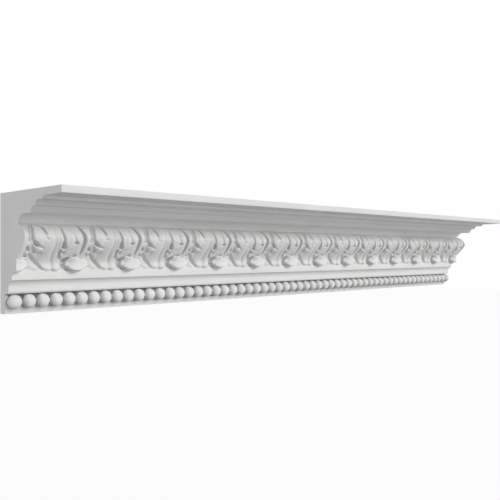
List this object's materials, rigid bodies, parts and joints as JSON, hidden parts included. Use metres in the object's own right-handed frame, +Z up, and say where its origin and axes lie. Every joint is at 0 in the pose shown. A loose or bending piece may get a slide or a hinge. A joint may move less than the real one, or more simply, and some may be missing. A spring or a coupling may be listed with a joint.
{
  "type": "ornamental cornice",
  "caption": "Straight length of white plaster cornice: stepped crown mouldings over an acanthus leaf frieze and a row of beads, cut square at both ends.",
  "frame": {"origin": "the middle of the flat wall face", "axes": "+X runs along the cornice, +Y points into the wall, +Z points up to the ceiling, so the mouldings face -Y"},
  "size_m": [1, 0.137, 0.137],
  "materials": {
    "plaster": "matt white cast plaster, smooth from the mould"
  },
  "bodies": {
    "root": {"cornice": "plaster"}
  },
  "joints": []
}
